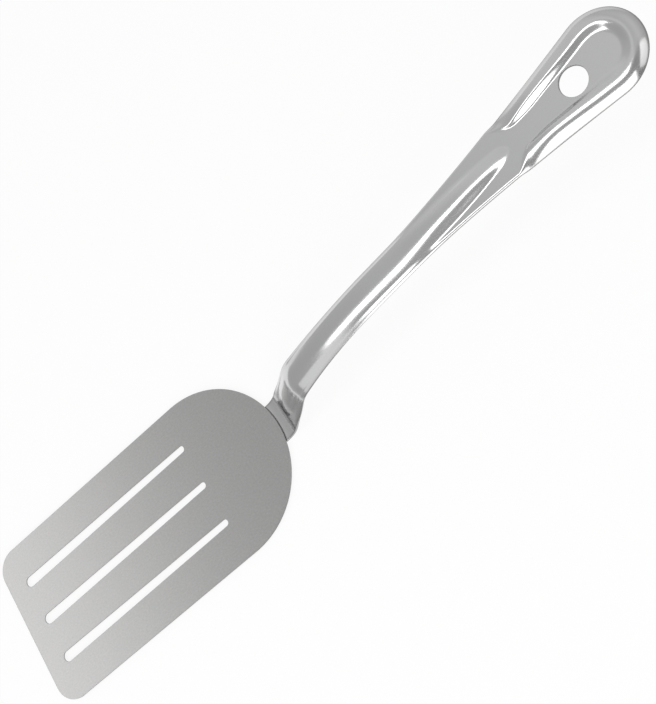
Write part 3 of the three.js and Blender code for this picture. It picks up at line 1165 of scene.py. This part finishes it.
@dataclass(frozen=True)
class Softbox:
    """One rectangular studio lamp, with its long side along X unless it is turned."""

    POWER_PER_RADIANCE = 4.0

    name: str
    place: Point
    target: Point
    length: float
    width: float
    radiance: float
    along: Point = (1.0, 0.0, 0.0)
    lights: Lights = Lights.ALL

    def build(self) -> None:
        """Makes the lamp."""
        lamp = bpy.data.lights.new(self.name, "AREA")
        lamp.shape = "RECTANGLE"
        lamp.size = self.length
        lamp.size_y = self.width
        lamp.energy = self.POWER_PER_RADIANCE * self.radiance * self.length * self.width
        made = link_to_scene(self.name, lamp)
        back = Vector(self.place) - Vector(self.target)
        aim(made, self.place, back, back.cross(Vector(self.along)))
        made.visible_camera = False
        if self.lights is not Lights.ALL:
            group = bpy.data.collections.new(self.name)
            group.objects.link(bpy.data.objects[SlottedBlade.NAME])
            group.collection_objects[0].light_linking.link_state = self.lights.value
            made.light_linking.receiver_collection = group


@dataclass
class Studio:
    """Floor, lamps, surroundings and camera."""

    floor_size: float = 12.0
    floor_gap: float = 0.05 * MM
    floor_color: Color = (0.93, 0.93, 0.93)
    floor_glow: float = 0.88
    left_from: float = -0.2
    left_full: float = 0.1
    left_grays: tuple[Pair, ...] = (
        (-0.85, 0.48), (-0.55, 0.53), (-0.40, 0.565), (-0.26, 0.66), (-0.15, 0.70),
        (0.00, 0.66), (0.20, 0.58), (0.45, 0.61), (0.80, 0.70),
    )
    right_grays: tuple[Pair, ...] = (
        (-0.90, 0.42), (-0.30, 0.42), (0.15, 0.34), (0.50, 0.40), (0.90, 0.55),
    )
    camera_place: Point = (0.1896, -0.1943, 0.4347)
    camera_forward: Point = (-0.2356, 0.4112, -0.8806)
    camera_up: Point = (0.6382, 0.7488, 0.1789)
    camera_lens: float = 61.36
    camera_sensor: float = 36.0
    camera_near: float = 0.01
    softboxes: tuple[Softbox, ...] = (
        Softbox(
            "overhead_strip", place=(-0.53, -0.052, 1.2), target=(-0.53, 0.0, 0.0), length=1.32,
            width=0.37, radiance=1.8, along=(1.0, -0.1, 0.0), lights=Lights.ALL_BUT_BLADE,
        ),
        Softbox(
            "right_softbox", place=(-0.13, -1.05, 0.595), target=(-0.13, -0.22, 0.038), length=1.06,
            width=0.98, radiance=1.8, lights=Lights.ALL_BUT_BLADE,
        ),
        Softbox(
            "front_softbox", place=(-1.9, -0.95, 1.15), target=(-1.9, -0.6, 0.0), length=1.8,
            width=1.5, radiance=0.36,
        ),
        Softbox(
            "end_softbox", place=(1.4, -0.75, 1.0), target=(0.2, 0.0, 0.0), length=1.3,
            width=1.0, radiance=0.75, along=(0.0, 1.0, 0.0),
        ),
        Softbox(
            "blade_softbox", place=(-1.22, 0.45, 1.0), target=(-1.22, 0.45, 0.0), length=2.4,
            width=1.2, radiance=1.05, along=(0.0, 1.0, 0.0), lights=Lights.BLADE,
        ),
    )

    def build(self) -> None:
        """Sets up the whole studio."""
        bpy.context.scene.view_settings.view_transform = "Standard"
        self.camera()
        self.floor()
        self.surroundings()
        for softbox in self.softboxes:
            softbox.build()

    def camera(self) -> None:
        """Puts the camera at the photograph's viewpoint."""
        lens = bpy.data.cameras.new("photo_camera")
        lens.lens = self.camera_lens
        lens.sensor_width = self.camera_sensor
        lens.clip_start = self.camera_near
        made = link_to_scene("photo_camera", lens)
        aim(made, self.camera_place, -Vector(self.camera_forward), Vector(self.camera_up))
        bpy.context.scene.camera = made

    def floor(self) -> None:
        """Lays a white floor just under the turner."""
        level = cad_bounds[0].z - self.floor_gap
        half = self.floor_size / 2
        mesh = bpy.data.meshes.new("floor")
        signs = ((-1, -1), (1, -1), (1, 1), (-1, 1))
        corners = [(half * x, half * y, level) for x, y in signs]
        mesh.from_pydata(corners, [], [(0, 1, 2, 3)])
        mesh.materials.append(self.floor_material())
        made = link_to_scene("floor", mesh)

    def floor_material(self) -> bpy.types.Material:
        """White floor that keeps a faint shadow, and can be seen through from underneath.

        Returns:
            The material.
        """
        made = bpy.data.materials.new("white_floor")
        made.use_nodes = True
        made.node_tree.nodes.clear()
        build = NodeTreeBuilder(made.node_tree)
        rays = build.add("ShaderNodeLightPath").outputs
        seen: Any = 0.0
        for ray in SeenBy:
            seen = build.math("MAXIMUM", seen, rays[ray.value])
        share = build.math("MULTIPLY", seen, self.floor_glow)
        paint = build.out("ShaderNodeBsdfDiffuse", {"Color": (*self.floor_color, 1.0)})
        glow = build.out("ShaderNodeEmission", {"Strength": 1.0})
        white = build.out("ShaderNodeMixShader", {0: share, 1: paint, 2: glow})
        clear = build.out("ShaderNodeBsdfTransparent")
        under = build.add("ShaderNodeNewGeometry").outputs["Backfacing"]
        both = build.out("ShaderNodeMixShader", {0: under, 1: white, 2: clear})
        build.add("ShaderNodeOutputMaterial", {"Surface": both})
        return made

    def surroundings(self) -> None:
        """Lights the room grey: lighter on the left of the turner than on the right."""
        world = bpy.data.worlds.new("gray_room")
        bpy.context.scene.world = world
        world.use_nodes = True
        world.node_tree.nodes.clear()
        build = NodeTreeBuilder(world.node_tree)
        way = build.add("ShaderNodeTexCoord").outputs["Generated"]
        axes = build.add("ShaderNodeSeparateXYZ", {0: way}).outputs
        change = {"Value": axes["Y"], "From Min": self.left_from, "From Max": self.left_full}
        left_share = build.out("ShaderNodeMapRange", change, interpolation_type="SMOOTHSTEP")
        right = self.gray_along(build, axes["X"], self.right_grays)
        left = self.gray_along(build, axes["X"], self.left_grays)
        gray = build.mix(Mix.FLOAT, left_share, right, left)
        white = (1.0, 1.0, 1.0, 1.0)
        light = build.out("ShaderNodeBackground", {"Color": white, "Strength": gray})
        build.add("ShaderNodeOutputWorld", {"Surface": light})

    @staticmethod
    def gray_along(build: NodeTreeBuilder, x: Socket, stops: tuple[Pair, ...]) -> Socket:
        """Grey of the room that changes along the turner.

        Args:
            build: Builder of the world.
            x: How far a direction points along X, from -1 to 1.
            stops: Places along X and the grey at each.

        Returns:
            The grey.
        """
        share = build.math("MULTIPLY_ADD", x, 0.5, 0.5)
        ramp = build.add("ShaderNodeValToRGB", {"Fac": share})
        ramp.color_ramp.interpolation = "EASE"
        points = ramp.color_ramp.elements
        while len(points) < len(stops):
            points.new(1.0)
        for point, (place, gray) in zip(points, stops):
            point.position = 0.5 + 0.5 * place
            point.color = (gray, gray, gray, 1.0)
        return build.out("ShaderNodeSeparateColor", {0: ramp.outputs["Color"]})


def main() -> None:
    """Builds the studio and every piece of the turner."""
    logging.basicConfig(level=logging.INFO, format="%(name)s: %(message)s")
    grain = SteelGrain()
    pieces = [SlottedBlade().build(grain), PressedHandle().build(grain)]
    pieces += SpotWelds().dress(grain)
    Studio().build()
    for piece in pieces:
        LOG.info("%s has %d faces", piece.name, len(piece.data.polygons))


if __name__ == "__main__":
    main()
